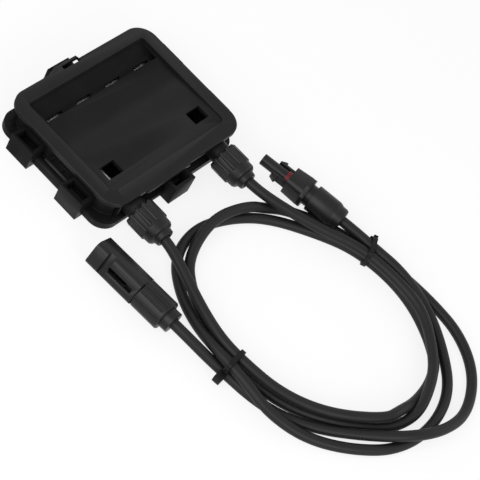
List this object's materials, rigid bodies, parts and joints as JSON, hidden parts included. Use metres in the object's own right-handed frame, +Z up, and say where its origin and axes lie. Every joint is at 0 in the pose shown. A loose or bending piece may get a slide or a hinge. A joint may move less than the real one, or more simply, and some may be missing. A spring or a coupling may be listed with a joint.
{
  "type": "pv_junction_box",
  "caption": "Black solar panel junction box lying on its clip-on lid, adhesive face up, with two coiled and tied leads ending in a plug and a socket",
  "frame": {"origin": "middle of the underside of the box, leads left out", "axes": "X along the long sides, Y from the glands to the back latch, Z up from the lid to the adhesive face"},
  "size_m": [0.1577, 0.289, 0.021],
  "materials": {
    "housing": "satin",
    "fitting": "satin",
    "cage": "matte",
    "seal": "matte",
    "red_seal": "satin",
    "tinned_copper": "satin",
    "clip_steel": "satin",
    "diode": "satin",
    "cable_jacket": "satin",
    "tie": "satin"
  },
  "bodies": {
    "base": {"base_housing": "housing", "terminal_rail_1": "tinned_copper", "terminal_rail_2": "tinned_copper", "terminal_rail_3": "tinned_copper", "terminal_rail_4": "tinned_copper", "bypass_diode_1": "diode", "bypass_diode_2": "diode", "bypass_diode_3": "diode", "ribbon_clips": "clip_steel", "conductor_left": "tinned_copper", "conductor_right": "tinned_copper", "gland_seal_left": "seal", "gland_seal_right": "seal", "gland_cage_left": "cage", "gland_cage_right": "cage", "cable_left": "cable_jacket", "cable_right": "cable_jacket", "cable_tie_left": "tie", "cable_tie_right": "tie", "socket_housing": "fitting", "socket_pin": "tinned_copper", "socket_seal": "seal", "socket_cage": "cage", "plug_housing": "fitting", "plug_contact": "tinned_copper", "plug_face_seal": "red_seal", "plug_seal": "seal", "plug_cage": "cage"},
    "lid": {"lid": "housing", "lid_gasket": "seal"},
    "gland_nut_left": {"gland_nut_left": "fitting"},
    "gland_nut_right": {"gland_nut_right": "fitting"},
    "socket_nut": {"socket_nut": "fitting"},
    "plug_nut": {"plug_nut": "fitting"}
  },
  "joints": [
    {"name": "lid_slide", "type": "slide", "parent": "base", "child": "lid", "axis": [0, 0, -1], "range_m": [0, 0.02]},
    {"name": "gland_nut_left_turn", "type": "hinge", "parent": "base", "child": "gland_nut_left", "pos_m": [-0.034, -0.04625, 0.0115], "axis": [0, 1, 0], "continuous": true},
    {"name": "gland_nut_right_turn", "type": "hinge", "parent": "base", "child": "gland_nut_right", "pos_m": [0.034, -0.04625, 0.0115], "axis": [0, 1, 0], "continuous": true},
    {"name": "socket_nut_turn", "type": "hinge", "parent": "base", "child": "socket_nut", "pos_m": [-0.0668, -0.08625, 0.0093], "axis": [-0.041, 0.9992, 0], "continuous": true},
    {"name": "plug_nut_turn", "type": "hinge", "parent": "base", "child": "plug_nut", "pos_m": [0.0621, -0.09325, 0.0097], "axis": [-0.1697, 0.9855, 0], "continuous": true}
  ]
}
